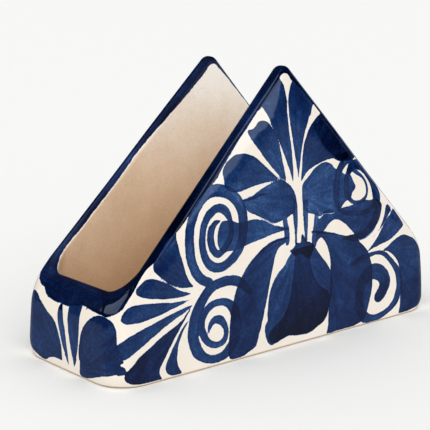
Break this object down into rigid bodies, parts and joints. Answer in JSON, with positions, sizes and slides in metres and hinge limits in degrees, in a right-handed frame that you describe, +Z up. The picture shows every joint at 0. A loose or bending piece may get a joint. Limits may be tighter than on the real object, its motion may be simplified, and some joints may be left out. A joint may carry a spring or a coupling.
{
  "type": "napkin holder",
  "caption": "Glazed earthenware napkin holder: a low trough between gable-shaped panels that lean inwards, with rounded rims and brushed cobalt decoration.",
  "frame": {"origin": "on the table, under the middle of the foot", "axes": "+Z up, +X along the panels, -Y the front panel's outer face"},
  "size_m": [0.16, 0.0568, 0.1023],
  "materials": {
    "painted_glaze": "glossy clear glaze over cobalt brushwork on a cream ground",
    "inner_glaze": "thin clear glaze over bare tan clay with fine dark specks"
  },
  "bodies": {
    "root": {"floor_slab": "painted_glaze", "front_panel": "painted_glaze", "back_panel": "painted_glaze", "left_end_wall": "painted_glaze", "right_end_wall": "painted_glaze", "floor_seam_coil": "inner_glaze", "front_left_corner_coil": "inner_glaze", "front_right_corner_coil": "inner_glaze", "back_left_corner_coil": "inner_glaze", "back_right_corner_coil": "inner_glaze"}
  },
  "joints": []
}
